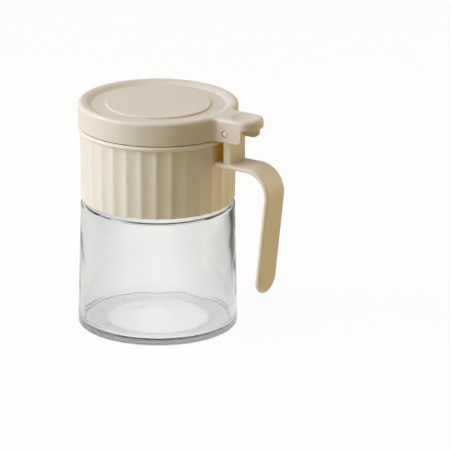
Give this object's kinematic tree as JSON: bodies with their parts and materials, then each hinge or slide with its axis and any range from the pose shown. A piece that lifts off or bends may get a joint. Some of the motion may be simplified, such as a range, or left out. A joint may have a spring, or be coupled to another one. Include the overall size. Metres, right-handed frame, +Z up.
{
  "type": "condiment jar",
  "caption": "Clear glass condiment jar with a fluted screw-on collar that carries a strap handle and a hinged flip lid with a thumb tab.",
  "frame": {"origin": "centre of the jar's underside, on the surface that it stands on", "axes": "+Z up along the jar's axis, +X towards the handle and the hinge, +Y across the handle"},
  "size_m": [0.1197, 0.0874, 0.1252],
  "materials": {
    "clear_glass": "clear soda-lime glass, faint green-grey in the thick base",
    "cream_plastic": "satin cream polypropylene, slightly translucent",
    "soft_silicone": "soft milky silicone",
    "pin_plastic": "pale polished plastic"
  },
  "bodies": {
    "jar": {"glass_jar": "clear_glass"},
    "gasket": {"neck_gasket": "soft_silicone"},
    "collar": {"screw_ring": "cream_plastic", "handle_collar": "cream_plastic"},
    "lid": {"lid": "cream_plastic", "lid_seal": "soft_silicone", "hinge_pin": "pin_plastic"}
  },
  "joints": [
    {"name": "collar_lift", "type": "slide", "parent": "jar", "child": "gasket", "axis": [0, 0, 1], "range_m": [0, 0.005]},
    {"name": "collar_turn", "type": "hinge", "parent": "gasket", "child": "collar", "pos_m": [0, 0, 0.0885], "axis": [0, 0, 1], "range_deg": [0, 450]},
    {"name": "lid_hinge", "type": "hinge", "parent": "collar", "child": "lid", "pos_m": [0.0492, 0, 0.117], "axis": [0, 1, 0], "range_deg": [0, 90]}
  ],
  "couplings": [
    {"joint": "collar_lift", "follows": "collar_turn", "m_per_rad": 0.00063661}
  ]
}
